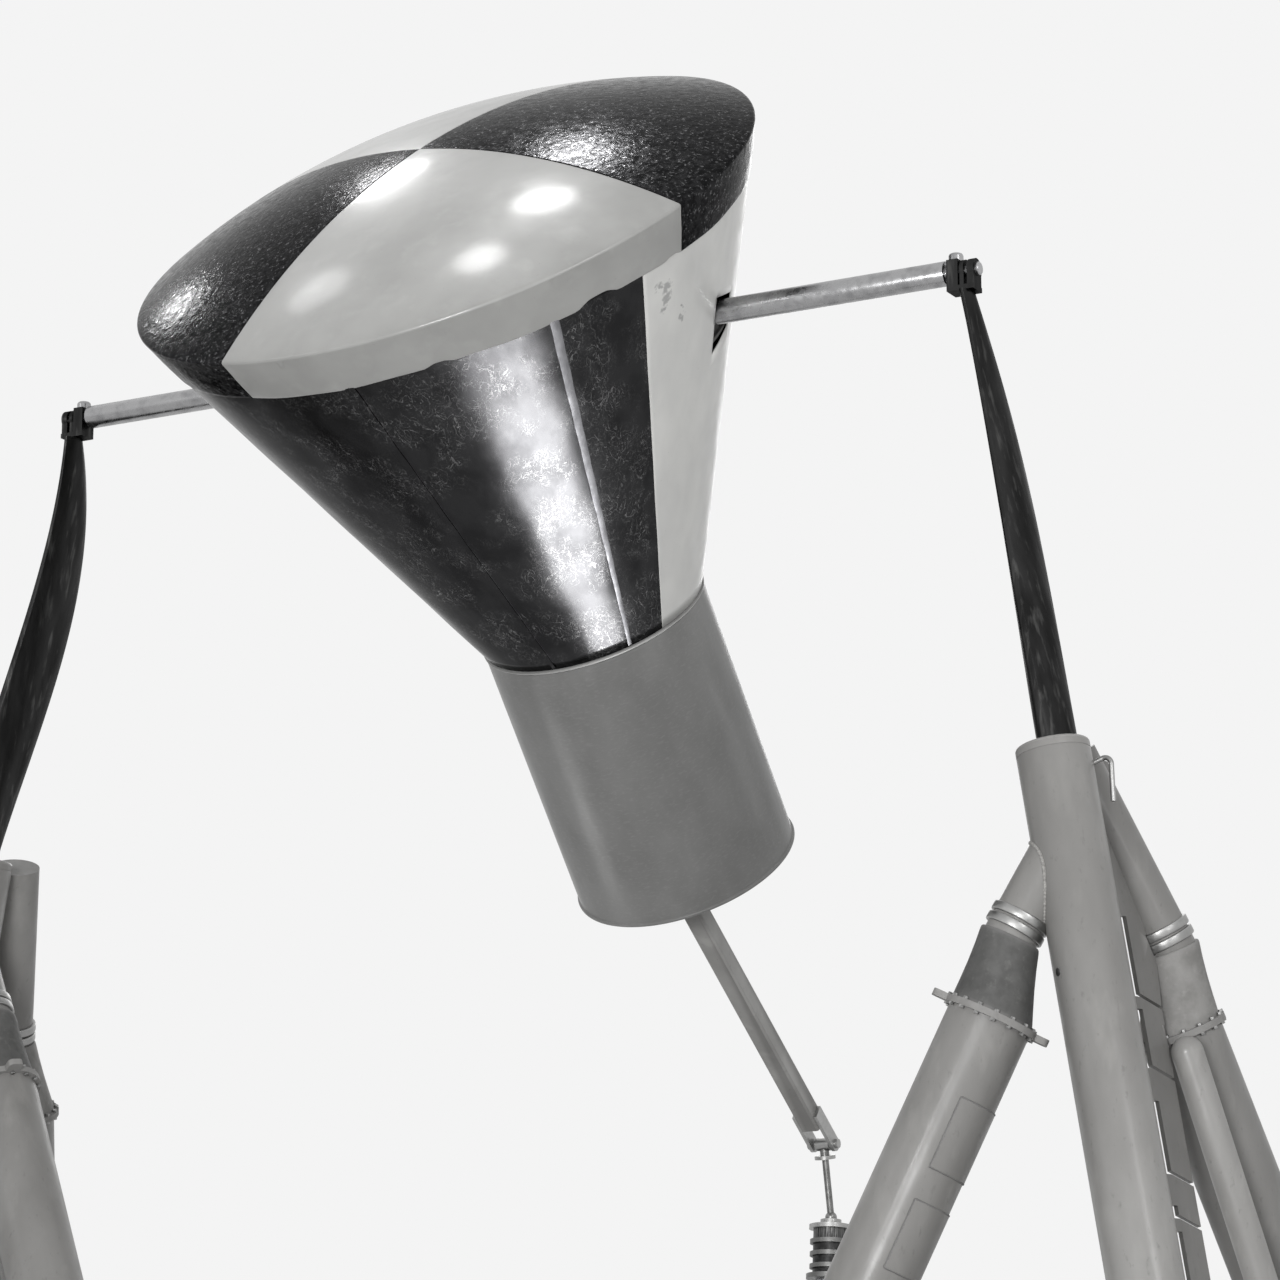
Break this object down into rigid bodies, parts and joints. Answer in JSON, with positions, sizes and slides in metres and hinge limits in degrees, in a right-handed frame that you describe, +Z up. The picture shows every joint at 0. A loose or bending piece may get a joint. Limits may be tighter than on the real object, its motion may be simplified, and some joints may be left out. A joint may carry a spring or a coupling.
{
  "type": "full-size wind-tunnel space capsule on a trunnion stand",
  "caption": "Blunt-nosed conical space capsule with a cylindrical aft section, hung by side trunnions between masts on pipe tripods, held in pitch by a telescoping tail strut.",
  "frame": {"origin": "on the floor below the middle of the whole assembly", "axes": "+X along the trunnion axis, +Y from the low edge of the heat shield towards the tail strut, +Z up"},
  "size_m": [4.984, 3.2665, 4.6505],
  "materials": {
    "shield_light_enamel": "satin",
    "polished_dark_sheet": "polished",
    "white_enamel": "satin",
    "grey_satin_enamel": "satin",
    "primed_steel": "matte",
    "primed_aluminium": "matte",
    "polished_tube": "polished",
    "stand_grey_paint": "satin",
    "machined_steel": "machined",
    "blackened_steel": "satin",
    "mast_dark_steel": "satin",
    "reducer_dark_paint": "matte"
  },
  "bodies": {
    "stand": {"brace_feet": "stand_grey_paint", "brace_lugs": "stand_grey_paint", "brace_pipes": "stand_grey_paint", "column_caps": "stand_grey_paint", "column_left": "stand_grey_paint", "column_right": "stand_grey_paint", "foot_plates": "stand_grey_paint", "head_caps": "polished_tube", "hook_brackets": "machined_steel", "inboard_leg_left": "stand_grey_paint", "inboard_leg_right": "stand_grey_paint", "leg_clamps": "machined_steel", "leg_flanges": "machined_steel", "leg_necks": "stand_grey_paint", "leg_reducers": "reducer_dark_paint", "mast_heads": "mast_dark_steel", "mast_left": "mast_dark_steel", "mast_right": "mast_dark_steel", "rear_leg_left": "stand_grey_paint", "rear_leg_right": "stand_grey_paint", "strut_bracket": "stand_grey_paint", "strut_bracket_lugs": "stand_grey_paint", "strut_foot_pin": "machined_steel", "web_plates": "stand_grey_paint"},
    "capsule": {"aft_cylinder": "grey_satin_enamel", "beam_frames": "primed_aluminium", "clevis_pin_heads": "machined_steel", "cone_lap_straps": "polished_dark_sheet", "cone_panel_far": "polished_dark_sheet", "cone_panel_left": "white_enamel", "cone_panel_near": "polished_dark_sheet", "cone_panel_right": "white_enamel", "cross_beam": "primed_steel", "cylinder_end_plate": "grey_satin_enamel", "heat_shield_far": "shield_light_enamel", "heat_shield_left": "polished_dark_sheet", "heat_shield_near": "shield_light_enamel", "heat_shield_right": "polished_dark_sheet", "neck_ring": "polished_dark_sheet", "tail_arm": "stand_grey_paint", "tail_clevis": "machined_steel", "trunnion_journals": "polished_tube", "trunnion_tube_left": "polished_tube", "trunnion_tube_right": "polished_tube"},
    "tail_strut": {"strut_foot_eye": "stand_grey_paint", "strut_barrel": "stand_grey_paint", "strut_rings": "stand_grey_paint", "strut_gland": "machined_steel"},
    "tail_ram": {"strut_ram": "polished_tube", "ram_stack": "blackened_steel", "ram_head_plate": "machined_steel", "link_rod": "machined_steel"}
  },
  "joints": [
    {"name": "capsule_pitch", "type": "hinge", "parent": "stand", "child": "capsule", "pos_m": [0, -0.634, 3.7], "axis": [1, 0, 0], "range_deg": [-5, 5]},
    {"name": "tail_strut_swing", "type": "hinge", "parent": "stand", "child": "tail_strut", "pos_m": [0, 1.423, 0.2], "axis": [1, 0, 0], "range_deg": [-7.2, 7.2]},
    {"name": "tail_ram_extend", "type": "slide", "parent": "tail_strut", "child": "tail_ram", "axis": [0, 0.0817, 0.9967], "range_m": [-0.195, 0.195]}
  ],
  "couplings": [
    {"joint": "tail_strut_swing", "follows": "capsule_pitch", "ratio": -1.4107},
    {"joint": "tail_ram_extend", "follows": "capsule_pitch", "m_per_rad": 2.1776}
  ]
}
